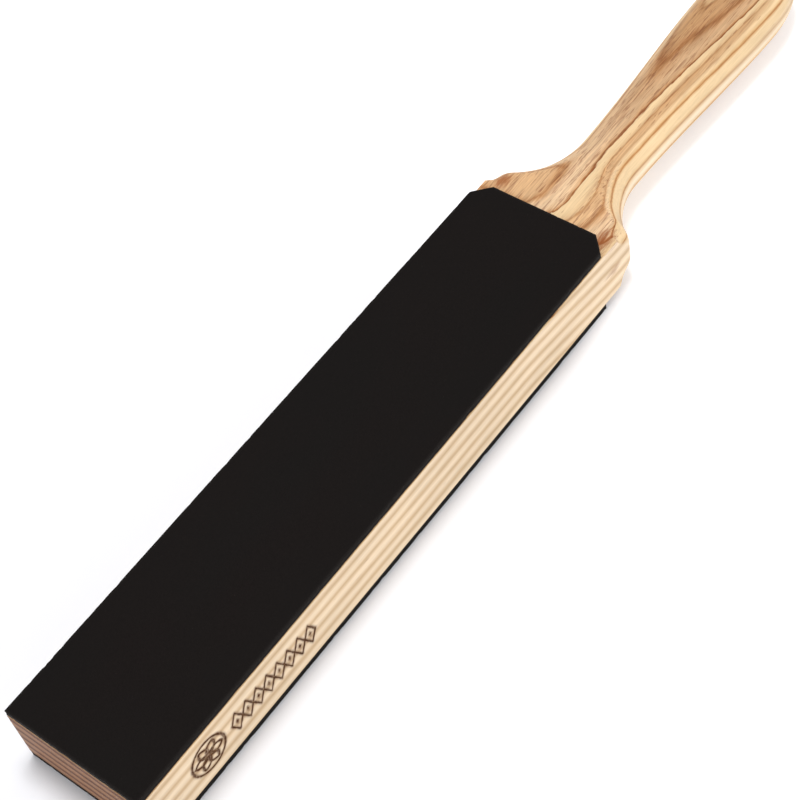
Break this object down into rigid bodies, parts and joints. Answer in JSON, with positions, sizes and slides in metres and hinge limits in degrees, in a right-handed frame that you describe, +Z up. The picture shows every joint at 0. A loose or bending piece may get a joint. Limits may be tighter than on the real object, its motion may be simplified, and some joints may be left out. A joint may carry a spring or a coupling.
{
  "type": "leather strop",
  "caption": "Two-sided paddle strop: a strip of black leather glued to each face of a one-piece wooden block that narrows into a rounded handle.",
  "frame": {"origin": "under the middle of the strop's length and width, on the surface that the lower leather rests on", "axes": "+X along the strop from the block's square end to the tip of the handle, +Y across it, +Z up out of the upper leather"},
  "size_m": [0.363, 0.0501, 0.0272],
  "materials": {
    "ash": "sanded, one thin coat of oil",
    "strop_leather": "dyed black, fine nap, matte",
    "contact_glue": "dried contact cement"
  },
  "bodies": {
    "root": {"paddle": "ash", "leather_top": "strop_leather", "leather_bottom": "strop_leather", "glue_top": "contact_glue", "glue_bottom": "contact_glue"}
  },
  "joints": []
}
